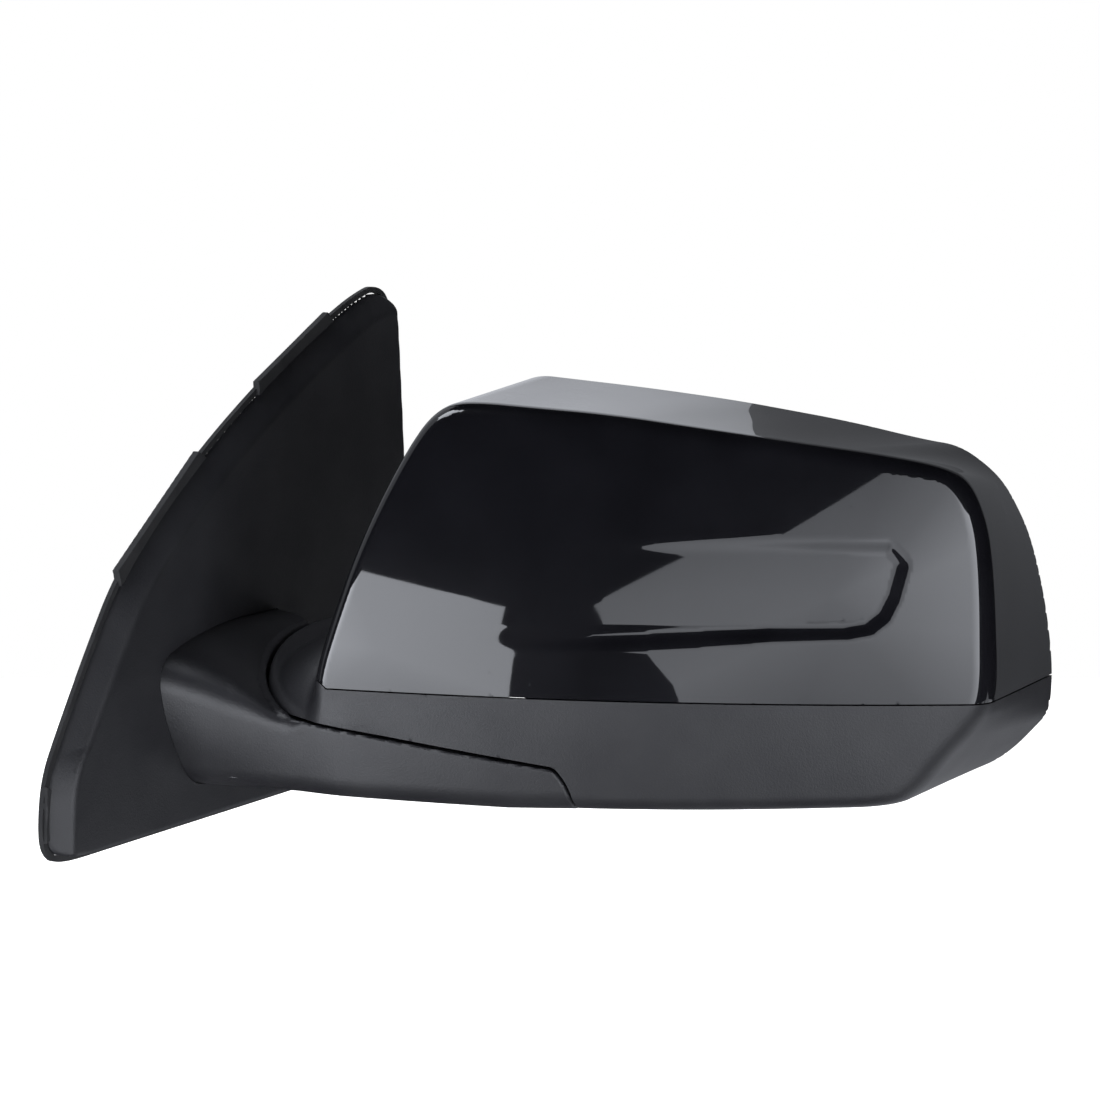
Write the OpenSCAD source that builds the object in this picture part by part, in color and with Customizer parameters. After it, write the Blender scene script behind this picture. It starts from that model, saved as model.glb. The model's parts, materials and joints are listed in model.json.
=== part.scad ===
// Car side mirror: a power-adjusted, manually folding door mirror for the left side of the car.
// Millimetres. +X points away from the door, +Y towards the rear of the car, +Z up.
// The origin is the centre of the three mounting studs, on the face that meets the door.

/* [Head] */
// Angle that the head is swept back from square to the door, degrees
head_sweep = 30; // [20:1:35]
// Wall of the cap and the covers
wall = 2.5; // [2:0.1:3]
// Radius along the outer edges of the head
edge_r = 5; // [4:0.5:7]
// Depth of the head from the fold axis back to the rear rim
rim_v = 38; // [36:1:42]
// Height of the cap's lower edge at the fold axis
seam_w = 18.1; // [16:0.1:20]
// Gap between the cap and the lower cover
seam_gap = 0.6; // [0.4:0.1:1]
// Depth of the recess in the front of the cap
recess_depth = 1.4; // [0.8:0.1:1.6]

/* [Fold joint] */
// Lean of the fold axis towards the outboard side, degrees
fold_lean = 10; // [6:1:12]
// Radius of the round boss under the head
boss_r = 34.7; // [33:0.1:35]
// Clearance between the boss and the arm's pocket
boss_gap = 1.3; // [0.8:0.1:1.6]
// Height of the arm's top face on the fold axis
arm_top_h = 1.7; // [1.5:0.1:2]
// Height of the head's under face on the fold axis
head_floor_h = 3; // [2.8:0.1:3.4]
// Radius of the arm's tongue at its top face
tongue_r = 86; // [84:1:88]
// Radius of the steel pivot post
post_r = 12; // [11:0.5:13]
// Running clearance of the post in its bush
post_clearance = 0.05; // [0.02:0.01:0.1]
// Furthest the head folds to the rear, degrees
fold_rear = 60; // [40:5:60]
// Furthest the head folds to the front, degrees
fold_front = 35; // [20:5:35]

/* [Glass] */
// Thickness of the mirror glass
glass_t = 2; // [1.8:0.1:2.4]
// Distance of each push rod from the tilt centre
rod_arm = 26; // [25:0.5:27]

/* [Door mounting] */
// Distance of the fold axis from the door face
pivot_x = 58; // [56:1:62]
// Thickness of the mounting bracket's plate
plate_t = 4; // [3:0.5:5]
// Height of the sail cover's face above the door
sail_h = 8; // [7:0.5:9]
// Radius of the M6 mounting studs
stud_r = 3; // [3:0.5:4]
// Length of the studs below the door face
stud_len = 22; // [18:1:26]

/* [Hidden] */
$fn = 48;
eps = 0.01;

pivot = [pivot_x, -25, -27];
studs = [[-110, -45], [65, -45], [45, 90]];
harness = [-25, -18];
screw_seats = [[-118, -20], [-20, 72], [82, 20]];
// Pressed-in part of each stud, and the flange of the harness grommet
knurl_r = stud_r + 0.4;
flange_r = 12.5;
// Screws of the rear bezel: [along the head, up, direction of the rib to the wall]
bezel_seats = [[63.8, 92, 160], [180, 108.9, 90], [259, 40, 0], [170, -24.15, -90]];
actuator_screw_angles = [100, 220, 340];

// Heights of the stack on the fold axis, from the bracket's seat up to the retainer
seat_h = [-18, -6.2];
lower_ring_h = [-6.2, -2];
upper_ring_h = [-1.6, 2];
hub_h = [2, 11];
washer_h = [11.3, 12.3];
retainer_h = [22.5, 24.5];
post_top_h = 26;
ring_r = 27;
hub_r = 24;
// Half width of the two stop lugs and their play at each end, degrees, and the floor of their slots
lug_half = 8;
lug_play = 1;
lug_floor = lower_ring_h[0] + 1.3;

// Head outlines, [along the head, up], in the head's own frame about the fold axis
front_edge = [[-16, 12], [-15, 24], [-6, 48], [1, 67], [10.5, 89], [21.5, 111], [29, 121],
  [38.5, 125.5], [94, 121.5], [131, 116], [168, 110.5], [220, 103], [230, 97.5], [237, 82],
  [240, 66], [241.8, 44], [241.8, 12], [232, 1], [220, -11], [211, -22], [202, -28.5],
  [130, -28.5], [83, -27.8], [38, -26.2], [-8, -22.5], [-15, -10]];
rear_edge = [[22, -5], [24, 20], [64, 130], [114, 124.5], [149, 119.5], [192, 111.5],
  [223, 104], [236, 102], [246.5, 95], [254.5, 87], [260.5, 76], [264.5, 67], [268.5, 53],
  [272, 36], [274.6, 17], [274.6, 2], [273, -5], [268.5, -10], [260, -19], [250, -26],
  [236, -29.5], [130, -29], [30, -26]];
opening_edge = [[36, 10], [79, 118], [115, 115], [150, 110], [190, 103], [220, 96.5],
  [233, 90], [241, 80], [247, 60], [252, 38], [255, 20], [255, 5], [248, -6], [232, -17],
  [205, -20], [125, -20], [90, -9]];
// Outline of the swept recess in the cap's front face
recess_edge = [[40, 78], [160, 78], [205, 77], [210, 69], [209, 57], [203.5, 45.5], [197, 39.5],
  [176, 37], [157, 37], [112, 36], [57, 34], [40, 36]];
// Where the recess starts, along the head: it deepens from there outboard
recess_start = 58;
recess_end = 210;
// Front face: a shallow dome, [along the head, towards the front, up]
dome_top = [110, -47, 45];
dome_run = [1300, 560];

// Sail outline on the door side, [rearward, up]
sail_edge = [[-136, -66.5], [-143.5, -62], [-144.5, -52], [-142, -35], [-133, -20], [-116, 6],
  [-97, 33], [-69, 56.5], [-37, 78], [-6.5, 95.5], [25, 111.5], [56, 125], [70, 129.5],
  [77, 131], [85.5, 128.5], [88.5, 122], [92.5, 67], [95, 0], [95.5, -66.5]];

// Tilt centre of the glass, and the layers of the glass assembly behind it
tilt_centre = [148, 16, 48];
holder_v = [19, 21];
pad_v = [21, 21.6];
glass_v = [21.6, 21.6 + glass_t];
// Radius of the ears that hold the cross, in the actuator's cover and in the holder
ear_r = 3.2;

wheel_r = 6;
worm_r = 2.7;
mesh_gap = 0.3;
worm_offset = rod_arm - wheel_r - mesh_gap - worm_r;

// ---- helpers ----

// Height of the cap's seam along the head, with the curl at its inboard corner
function seam_at(u) = seam_w - 0.0265 * u + 0.9 * max(0, -8 - u);

// Depth of the domed front face at a point of the head
function front_v(p) = dome_top[1] + pow(p[0] - dome_top[0], 2) / dome_run[0]
  + pow(p[1] - dome_top[2], 2) / dome_run[1];

function unit(p) = p / norm(p);

// Outward normal of an edge of a clockwise outline
function out_normal(a, b) = let (d = unit(b - a)) [-d[1], d[0]];

// An outline moved in by d
function inset(pts, d) = let (n = len(pts)) [for (i = [0 : n - 1])
  let (a = out_normal(pts[(i + n - 1) % n], pts[i]), b = out_normal(pts[i], pts[(i + 1) % n]))
  pts[i] - (a + b) * d / (1 + a * b)];

// Head frame: x along the head, y rearward, z up, about the fold axis
module in_head() translate(pivot) rotate([0, 0, head_sweep]) children();

// Frame of the fold axis: z along it
module in_fold() in_head() rotate([0, fold_lean, 0]) children();

// Flat shape in the head's [x, z], from depth a to depth b
module slab_v(a, b) translate([0, b, 0]) rotate([90, 0, 0]) linear_extrude(b - a) children();

// Flat shape in [y, z], from x = a to x = b
module slab_x(a, b) translate([a, 0, 0]) rotate([90, 0, 90]) linear_extrude(b - a) children();

module tube(r_out, r_in, h0, h1) translate([0, 0, h0]) difference() {
  cylinder(r = r_out, h = h1 - h0);
  translate([0, 0, -1]) cylinder(r = r_in, h = h1 - h0 + 2);
}

// Round the tilt centre, with z towards the rear
module at_tilt(du, dw, v) translate([tilt_centre[0] + du, v, tilt_centre[2] + dw])
  rotate([-90, 0, 0]) children();

// ---- bodies that the covers are cut from ----

// The whole head, moved out by grow
module head_body(grow = 0) hull() {
  for (p = inset(front_edge, edge_r))
    translate([p[0], front_v(p) + edge_r, p[1]]) sphere(r = edge_r + grow, $fn = 16);
  for (p = inset(rear_edge, edge_r))
    translate([p[0], rim_v, p[1]]) sphere(r = edge_r + grow, $fn = 16);
  for (u = [40 : 35 : 215], w = [-5 : 25 : 95])
    translate([u, front_v([u, w]) + edge_r, w]) sphere(r = edge_r + grow, $fn = 12);
}

// Thick neck of the arm between the sail and the pocket, moved out by grow
module neck_body(grow = 0) {
  r = 7;
  root = [[-54, -47, 20], [-54, -42, 2], [-54, -26, -14.5], [-54, 30, -14.5], [-54, 44, 12],
    [-54, 22, 29], [-54, -20, 26]];
  tip = concat([for (w = [-4, -15]) [-15, front_v([-15, w]) + r, w]],
    [[-15, 30, -14], [-16, 28, 27], [-32, 2, 18]]);
  hull() {
    for (p = root)
      translate(pivot + p) sphere(r = r + grow, $fn = 16);
    for (p = tip)
      in_head() translate(p) sphere(r = r + grow, $fn = 16);
  }
}

// Space under the head that the tongue may sweep: a disc with a flared rim
module tongue_zone(top, grow = 0) in_fold() rotate_extrude($fn = 96)
  polygon([[0, top], [tongue_r - 4 + grow, top], [tongue_r + grow, top - 3],
    [tongue_r + 26 + grow, top - 45], [0, top - 45]]);

// Everything above the cap's seam, moved up by up
module above_seam(up) in_head() slab_v(-70, 60)
  polygon(concat([for (u = [-40 : 4 : -4]) [u, seam_at(u) + up]],
    [[320, seam_at(320) + up], [320, 200], [-40, 200]]));

// ---- root body: everything fixed to the door ----

// Beam from the plate to the seat of the pivot post, moved out by grow
module bracket_beam(grow) translate([plate_t - eps, -50 - grow, -44 - grow])
  cube([40, 46 + 2 * grow, 10.8 + 2 * grow]);

module mounting_bracket() color([0.55, 0.56, 0.58]) difference() {
  union() {
    slab_x(0, plate_t) polygon(inset(sail_edge, 9));
    // stiffening ribs on the outer face of the plate
    for (z = [-56, 18]) translate([plate_t - eps, -60, z]) cube([1.4, 110, 2]);
    bracket_beam(0);
    in_fold() translate([0, 0, seat_h[0]]) cylinder(r = 26, h = seat_h[1] - seat_h[0]);
  }
  in_fold() translate([0, 0, -30]) cylinder(r = post_r, h = 60);
  in_fold() translate([0, 0, seat_h[0] - 1]) cylinder(r = 16, h = 3);
  // hole of the harness grommet, with a seat for its flange
  translate([-1, harness[0], harness[1]]) rotate([0, 90, 0]) cylinder(r = 10, h = 8);
  translate([-1, harness[0], harness[1]]) rotate([0, 90, 0]) cylinder(r = flange_r + 0.3, h = 3.4);
  for (s = studs)
    translate([-1, s[0], s[1]]) rotate([0, 90, 0]) cylinder(r = knurl_r + 0.05, h = plate_t + 2);
  for (s = screw_seats) translate([-1, s[0], s[1]]) rotate([0, 90, 0]) {
    cylinder(r = 1.9, h = plate_t + 2);
    cylinder(r = 4.3, h = 2.8);
  }
  // lightening windows
  slab_x(-1, plate_t + 1) polygon([[10, -50], [55, -50], [58, 0], [10, 0]]);
  slab_x(-1, plate_t + 1) polygon([[0, 24], [68, 30], [66, 56], [20, 62], [-14, 56]]);
  slab_x(-1, plate_t + 1) polygon([[-100, -30], [-62, -30], [-62, 14], [-84, 10]]);
}

module mounting_studs() color([0.75, 0.75, 0.77]) for (s = studs)
  translate([0, s[0], s[1]]) rotate([0, 90, 0]) {
    translate([0, 0, -stud_len]) cylinder(r = stud_r, h = stud_len + eps);
    cylinder(r = knurl_r, h = plate_t + eps);
    translate([0, 0, plate_t]) cylinder(r = 5, h = 1.4);
  }

module pivot_post() color([0.7, 0.7, 0.72]) in_fold() union() {
  tube(post_r, 8.5, seat_h[0] + 2, post_top_h);
  tube(16, 8.5, seat_h[0], seat_h[0] + 2);
}

// Arc of a ring, in degrees from start to stop
module ring_arc(r_in, r_out, h0, h1, start, stop) rotate([0, 0, start])
  rotate_extrude(angle = stop - start) translate([r_in, h0]) square([r_out - r_in, h1 - h0]);

module detent_ring_lower() color([0.45, 0.45, 0.47]) in_fold() difference() {
  tube(ring_r, post_r, lower_ring_h[0], lower_ring_h[1]);
  back = lug_half + fold_front + lug_play;
  on = lug_half + fold_rear + lug_play;
  for (a = [0, 180])
    ring_arc(17, 24, lug_floor, 4, a - back, a + on);
}

module detent_ring_upper() color([0.5, 0.5, 0.52]) in_fold() union() {
  tube(ring_r, post_r + 0.4, upper_ring_h[0], upper_ring_h[1]);
  for (a = [0, 180])
    ring_arc(17.4, 23.6, lug_floor + 0.4, upper_ring_h[0] + 0.1, a - lug_half, a + lug_half);
}

module thrust_washer() color([0.72, 0.66, 0.45]) in_fold() tube(19, post_r, washer_h[0], washer_h[1]);

// Rod of round section wound into a coil about z, from its first turn at height 0
module coil(r, rod_r, turns, rise, steps, sides) {
  rings = turns * steps;
  points = [for (i = [0 : rings], j = [0 : sides - 1])
    let (t = i * 360 / steps, a = -j * 360 / sides, reach = r + rod_r * cos(a))
    [reach * cos(t), reach * sin(t), rise * i / rings + rod_r * sin(a)]];
  skin = [for (i = [0 : rings - 1], j = [0 : sides - 1])
    let (k = (j + 1) % sides)
    [i * sides + j, i * sides + k, (i + 1) * sides + k, (i + 1) * sides + j]];
  first = [for (j = [sides - 1 : -1 : 0]) j];
  last = [for (j = [0 : sides - 1]) rings * sides + j];
  polyhedron(points, concat(skin, [first, last]));
}

spring_wire = 1.7;

module pivot_spring() color([0.3, 0.3, 0.32]) in_fold() translate([0, 0, washer_h[1] + spring_wire])
  coil(14.4, spring_wire, 2.75, retainer_h[0] - washer_h[1] - 2 * spring_wire, 24, 8);

module spring_retainer() color([0.6, 0.6, 0.62]) in_fold() union() {
  tube(17, post_r, retainer_h[0], retainer_h[1]);
  tube(14, post_r, retainer_h[1] - eps, post_top_h - 0.2);
}

// Sail: bevelled cover over the bracket
module sail_body(drop) hull() {
  slab_x(1 - drop, 1.1 - drop) polygon(inset(sail_edge, 1 + drop));
  slab_x(3 - drop, 3.1 - drop) polygon(inset(sail_edge, 2 + drop));
  slab_x(sail_h - 0.7 - drop, sail_h - 0.6 - drop) polygon(inset(sail_edge, 8 + drop));
  slab_x(sail_h - 0.1 - drop, sail_h - drop) polygon(inset(sail_edge, 11 + drop));
}

module sail_cover() color([0.12, 0.12, 0.13]) difference() {
  union() {
    difference() {
      sail_body(0);
      sail_body(2);
    }
    // bosses that the bracket's screws bite into
    for (s = screw_seats)
      translate([plate_t + 0.1, s[0], s[1]]) rotate([0, 90, 0]) cylinder(r = 4, h = 2.4);
  }
  for (s = screw_seats)
    translate([0, s[0], s[1]]) rotate([0, 90, 0]) cylinder(r = 1.85, h = 6.2);
  translate([-1, -200, -200]) cube([2, 400, 400]);
  neck_body(0.2);
}

// Locating tabs along the front edge of the sail: [start, end] of each
seal_tabs = [[[-7, 94], [46, 120]], [[-98, 31], [-43, 73]], [[-143, -38], [-144, -58]]];
tab_depth = 5;

module edge_seal() color([0.08, 0.08, 0.08]) difference() {
  union() {
    slab_x(0, 2) polygon(inset(sail_edge, -1.5));
    for (t = seal_tabs) let (out = out_normal(t[0], t[1]) * tab_depth, along = unit(t[1] - t[0]) * 2)
      slab_x(0.4, 3.4) polygon([t[0], t[0] + out + along, t[1] + out - along, t[1]]);
  }
  slab_x(-1, 5) polygon(inset(sail_edge, 4));
  slab_x(0.8, 1.3) polygon(inset(sail_edge, 0.8));
  sail_body(-0.2);
}

// Corners of the plate that closes the arm's underside: along the head, rearward, up
plate_corners = [[-44, -10, -19.6], [-10, -16, -22], [62, -20, -26.6], [64, 16, -26.6],
  [-20, 19.5, -21.2]];
// Cup of the arm round the post's seat: bore, and heights of its floor
cup_r = ring_r + 0.4;
cup_floor_h = seat_h[0] - 0.6;
// Sector above the arm that the head swings through, degrees
swing_start = -118;
swing_stop = 130;

module arm_cover() color([0.12, 0.12, 0.13]) difference() {
  union() {
    intersection() {
      neck_body(0);
      translate([sail_h - 3, -200, -100]) cube([200, 400, 200]);
    }
    intersection() {
      in_head() head_body(0);
      tongue_zone(arm_top_h);
      in_head() translate([-12, -80, -60]) cube([200, 112, 120]);
    }
    // cup round the post's seat
    in_fold() translate([0, 0, cup_floor_h - 2])
      cylinder(r = cup_r + wall, h = arm_top_h + 2 - cup_floor_h);
  }
  // inside of the neck and of the tongue, leaving the pocket's lining
  difference() {
    union() {
      neck_body(-wall);
      intersection() {
        in_head() head_body(-wall);
        tongue_zone(arm_top_h - wall, -wall);
        in_head() translate([-14, -80, -60]) cube([200, 112 - wall, 120]);
      }
    }
    in_fold() translate([0, 0, arm_top_h - wall]) cylinder(r = boss_r + boss_gap + wall, h = 80);
  }
  // pocket of the boss, and the way that the head swings
  in_fold() translate([0, 0, arm_top_h]) cylinder(r = boss_r + boss_gap, h = 80);
  in_fold() translate([0, 0, arm_top_h]) rotate([0, 0, swing_start])
    rotate_extrude(angle = swing_stop - swing_start) square([140, 90]);
  bracket_beam(0.3);
  in_fold() translate([0, 0, cup_floor_h]) cylinder(r = cup_r, h = 6 - cup_floor_h);
  // open underside, closed by the bottom plate
  in_head() hull() for (p = plate_corners)
    translate([p[0], p[1], -40]) cylinder(r = 6, h = 26);
}

module arm_bottom_plate() color([0.1, 0.1, 0.11]) in_head() difference() {
  hull() {
    for (p = plate_corners)
      translate([p[0], p[1], p[2]]) cylinder(r = 5.7, h = 1.8);
  }
  rotate([0, fold_lean, 0]) translate([0, 0, seat_h[0] - 0.4]) cylinder(r = cup_r, h = 30);
  rotate([0, fold_lean, 0]) translate([0, 0, -30]) cylinder(r = 8, h = 30);
}

module harness_grommet() color([0.05, 0.05, 0.05]) translate([0, harness[0], harness[1]])
  rotate([0, 90, 0]) rotate_extrude()
    polygon([[6, 0.1], [flange_r, 0.1], [flange_r, 2.3], [9.9, 2.3], [9.9, plate_t + 0.1],
      [12, plate_t + 0.1], [10, plate_t + 3], [6, plate_t + 3]]);

module bracket_screws() color([0.2, 0.2, 0.2]) for (s = screw_seats)
  translate([0, s[0], s[1]]) rotate([0, 90, 0]) {
    translate([0, 0, 0.1]) cylinder(r = 4, h = 1.6);
    translate([0, 0, 0.1]) cylinder(r = 1.8, h = 5.8);
  }

// ---- head body: everything that folds ----

// Screw bosses behind the bezel, each with a rib out to the wall
module bezel_bosses() intersection() {
  in_head() slab_v(22, rim_v - 2.3) for (p = bezel_seats) translate([p[0], p[1]]) difference() {
    union() {
      circle(r = 2.4);
      rotate(p[2]) translate([0, -1]) square([12, 2]);
    }
    circle(r = 1.1);
  }
  in_head() head_body(-1);
}

module skull_cap() color([0.03, 0.03, 0.035]) difference() {
  intersection() {
    union() {
      difference() {
        in_head() head_body(0);
        in_head() head_body(-wall);
      }
      bezel_bosses();
    }
    above_seam(seam_gap / 2);
  }
  in_head() translate([-60, rim_v, -60]) cube([400, 60, 260]);
  boss_body(0.3);
  // swept recess in the front face
  in_head() difference() {
    slab_v(-80, -20) polygon(recess_edge);
    translate([recess_start, front_v([recess_start, 60]), 0])
      rotate([0, 0, atan(recess_depth / (recess_end - recess_start))])
        translate([-recess_start, -front_v([recess_start, 60]), 0]) head_body(0);
  }
}

// Round boss under the head: its wall follows the pocket's sloping rim, and a dome closes it
module boss_body(grow) in_fold() union() {
  intersection() {
    cylinder(r = boss_r + grow, h = 60);
    rotate([26.5, -3, 0]) translate([-60, -60, -44]) cube([120, 120, 61 + grow]);
  }
  intersection() {
    cylinder(r = boss_r + grow, h = 60);
    sphere(r = boss_r - 0.5 + grow);
  }
}

module lower_cover() color([0.12, 0.12, 0.13]) difference() {
  union() {
    difference() {
      union() {
        in_head() head_body(0);
        boss_body(0);
      }
      // inside, leaving a floor over the tongue and the pocket
      difference() {
        union() {
          in_head() head_body(-wall);
          boss_body(-wall);
        }
        tongue_zone(head_floor_h + wall, wall + 0.6);
      }
    }
    bezel_bosses();
  }
  tongue_zone(head_floor_h, 0.6);
  in_fold() translate([0, 0, -5]) cylinder(r = hub_r + 0.5, h = 12);
  difference() {
    above_seam(-seam_gap / 2);
    boss_body(0);
  }
  in_head() translate([-60, rim_v, -60]) cube([400, 60, 260]);
}

module rear_bezel() color([0.1, 0.1, 0.11]) difference() {
  union() {
    in_head() slab_v(rim_v - 2.2, rim_v - 0.2) polygon(inset(rear_edge, wall + 1));
    in_head() hull() {
      slab_v(rim_v - 0.3, rim_v - 0.2) polygon(inset(opening_edge, -1.8));
      slab_v(15, 15.1) polygon(inset(opening_edge, -0.8));
    }
  }
  in_head() hull() {
    slab_v(rim_v, rim_v + 0.1) polygon(opening_edge);
    slab_v(14, 14.1) polygon(inset(opening_edge, 1));
  }
  tongue_zone(head_floor_h + wall + 0.3, wall + 1);
  in_fold() translate([0, 0, -5]) cylinder(r = boss_r + 0.5, h = 50);
  in_head() for (p = bezel_seats)
    translate([p[0], 0, p[1]]) rotate([-90, 0, 0]) cylinder(r = 1.15, h = 60);
}

module head_frame() color([0.4, 0.4, 0.42]) {
  lugs = [[100, 88], [198, 74], [192, 8]];
  floor_top = head_floor_h + wall;
  difference() {
    union() {
      in_fold() translate([0, 0, hub_h[0]]) cylinder(r = hub_r, h = hub_h[1] - hub_h[0]);
      // beam from the hub to the actuator
      in_fold() translate([8, -22, floor_top + 0.4]) cube([26, 22, hub_h[1] - floor_top - 0.4]);
      in_head() translate([26, -24, 1.5]) cube([8, 6, 40.5]);
      in_head() translate([26, -24, 20]) cube([85.5, 5, 22]);
      in_head() at_tilt(0, 0, -26) cylinder(r = 41, h = 4);
      // lugs that the covers screw to, and the bars that carry them
      in_head() for (p = lugs) translate([p[0], -26, p[1]]) rotate([-90, 0, 0]) cylinder(r = 6, h = 4);
      in_head() translate([96, -26, 30]) cube([8, 4, 58]);
      in_head() translate([178, -26, 70]) cube([20, 4, 8]);
      in_head() translate([160, -26, 4]) cube([32, 4, 8]);
    }
    in_fold() cylinder(r = 14, h = 40);
    in_head() at_tilt(0, 0, -40) cylinder(r = 18, h = 30);
    in_head() for (p = lugs) translate([p[0], -40, p[1]]) rotate([-90, 0, 0]) cylinder(r = 2.2, h = 30);
    in_head() for (a = actuator_screw_angles)
      at_tilt(38.5 * cos(a), 38.5 * sin(a), -40) cylinder(r = 1.4, h = 30);
  }
}

module pivot_bush() color([0.85, 0.8, 0.65]) in_fold()
  tube(14, post_r + post_clearance, hub_h[0], hub_h[1]);

module actuator_housing() color([0.15, 0.15, 0.16]) in_head() difference() {
  union() {
    at_tilt(0, 0, -22) cylinder(r = 36, h = 26);
    for (a = actuator_screw_angles)
      at_tilt(38.5 * cos(a), 38.5 * sin(a), -22) cylinder(r = 3.5, h = 5);
  }
  at_tilt(0, 0, -20) cylinder(r = 34, h = 30);
  for (a = actuator_screw_angles)
    at_tilt(38.5 * cos(a), 38.5 * sin(a), -23) cylinder(r = 1.6, h = 8);
}

module actuator_cover() color([0.2, 0.2, 0.21]) in_head() difference() {
  union() {
    at_tilt(0, 0, 4) cylinder(r = 36, h = 2);
    at_tilt(0, 0, 2) cylinder(r = 33.8, h = 2 + eps);
    // ears that hold the cross
    for (s = [-1, 1]) {
      translate([tilt_centre[0] + s * 8 - 1.5, tilt_centre[1], tilt_centre[2]])
        rotate([0, 90, 0]) cylinder(r = ear_r, h = 3);
      translate([tilt_centre[0] + s * 8 - 1.5, 5, tilt_centre[2] - ear_r]) cube([3, 11, 2 * ear_r]);
    }
  }
  at_tilt(0, 0, 1) cylinder(r = 8, h = 2.6);
  translate([tilt_centre[0] - 20, tilt_centre[1], tilt_centre[2]])
    rotate([0, 90, 0]) cylinder(r = 2.05, h = 40);
  at_tilt(0, rod_arm, 0) cylinder(r = 3, h = 10);
  at_tilt(rod_arm, 0, 0) cylinder(r = 3, h = 10);
}

// Motor body with its flats and its shaft, lying along x from 0 towards -x
module motor() union() {
  intersection() {
    rotate([0, -90, 0]) cylinder(r = 6.5, h = 16);
    translate([-20, -6.5, -5]) cube([30, 13, 10]);
  }
  rotate([0, 90, 0]) cylinder(r = 1, h = 1.4);
  translate([-17, 0, 0]) rotate([0, 90, 0]) cylinder(r = 2.4, h = 1.1);
}

gear_v = -9;

// Places a part on the axis of one of the two worms, with x along it
module worm_axis(vertical) in_head() {
  if (vertical)
    translate([tilt_centre[0], gear_v, tilt_centre[2] + worm_offset]) children();
  if (!vertical)
    translate([tilt_centre[0] + worm_offset, gear_v, tilt_centre[2]]) rotate([0, -90, 0]) children();
}

module motor_vertical() color([0.6, 0.6, 0.62]) worm_axis(true) translate([-6.5, 0, 0]) motor();
module motor_horizontal() color([0.6, 0.6, 0.62]) worm_axis(false) translate([-6.5, 0, 0]) motor();

// Worm with two starts: a two-lobed section twisted along its length
module worm() {
  length = 9;
  thread_depth = 0.9;
  section = [for (a = [0 : 30 : 330])
    (worm_r - thread_depth * (0.5 - 0.5 * cos(2 * a))) * [cos(a), sin(a)]];
  rotate([0, 90, 0])
    linear_extrude(height = length, center = true, twist = -900, slices = 30, $fn = 12) polygon(section);
}

module worm_vertical() color([0.75, 0.7, 0.5]) worm_axis(true) worm();
module worm_horizontal() color([0.75, 0.7, 0.5]) worm_axis(false) worm();

// Wheel that drives a push rod: teeth round a hub
module drive_gear() difference() {
  union() {
    translate([0, 0, -3]) cylinder(r = wheel_r - 1, h = 6);
    for (i = [0 : 19]) rotate([0, 0, i * 18]) translate([wheel_r - 1.4, -0.45, -3]) cube([1.35, 0.9, 6]);
    translate([0, 0, -5]) cylinder(r = 4.2, h = 10);
  }
  translate([0, 0, -6]) cylinder(r = 2.6, h = 12);
}

module drive_gear_vertical() color([0.85, 0.85, 0.8]) in_head() at_tilt(0, rod_arm, gear_v) drive_gear();
module drive_gear_horizontal() color([0.85, 0.85, 0.8]) in_head() at_tilt(rod_arm, 0, gear_v) drive_gear();

// Push rod with a ball at its tip
module push_rod() union() {
  translate([0, 0, -27]) cylinder(r = 2.3, h = 27);
  sphere(r = 3.4);
}

module push_rod_vertical() color([0.9, 0.9, 0.88]) in_head()
  at_tilt(0, rod_arm, tilt_centre[1]) push_rod();
module push_rod_horizontal() color([0.9, 0.9, 0.88]) in_head()
  at_tilt(rod_arm, 0, tilt_centre[1]) push_rod();

module actuator_screws() color([0.7, 0.7, 0.72]) in_head() for (a = actuator_screw_angles)
  at_tilt(38.5 * cos(a), 38.5 * sin(a), -17) {
    cylinder(r = 2.3, h = 1.6);
    translate([0, 0, -8.5]) cylinder(r = 1.3, h = 8.6);
  }

module bezel_screws() color([0.2, 0.2, 0.2]) in_head() for (p = bezel_seats)
  translate([p[0], rim_v - 0.2, p[1]]) rotate([90, 0, 0]) {
    translate([0, 0, -1.2]) cylinder(r = 2, h = 1.2);
    cylinder(r = 1.1, h = 12);
  }

// ---- glass and the cross that it tilts on ----

module tilt_cross() color([0.8, 0.8, 0.8]) in_head() translate(tilt_centre) union() {
  sphere(r = 2.7);
  translate([-10.5, 0, 0]) rotate([0, 90, 0]) cylinder(r = 2, h = 21);
  translate([0, 0, -10.5]) cylinder(r = 2, h = 21);
}

module glass_holder() color([0.1, 0.1, 0.1]) in_head() difference() {
  union() {
    slab_v(holder_v[0], holder_v[1]) polygon(inset(opening_edge, 5));
    slab_v(holder_v[1] - eps, glass_v[1]) difference() {
      polygon(inset(opening_edge, 5));
      polygon(inset(opening_edge, 6.2));
    }
    // ears that hold the upright pin of the cross
    for (s = [-1, 1]) {
      translate([tilt_centre[0], tilt_centre[1], tilt_centre[2] + s * 8 - 1.5]) cylinder(r = ear_r, h = 3);
      translate([tilt_centre[0] - ear_r, tilt_centre[1], tilt_centre[2] + s * 8 - 1.5])
        cube([2 * ear_r, 3.5, 3]);
    }
    at_tilt(0, rod_arm, 13) cylinder(r = 5.6, h = 6.5);
    at_tilt(rod_arm, 0, 13) cylinder(r = 5.6, h = 6.5);
  }
  translate([tilt_centre[0], tilt_centre[1], tilt_centre[2] - 20]) cylinder(r = 2.05, h = 40);
  // windows for the ears of the actuator's cover
  for (s = [-1, 1])
    translate([tilt_centre[0] + s * 8 - 3, holder_v[0] - 1, tilt_centre[2] - 5]) cube([6, 4, 10]);
  // sockets of the push rods
  at_tilt(0, rod_arm, 12) cylinder(r = 4, h = 8);
  at_tilt(rod_arm, 0, 12) cylinder(r = 4, h = 8);
}

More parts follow.
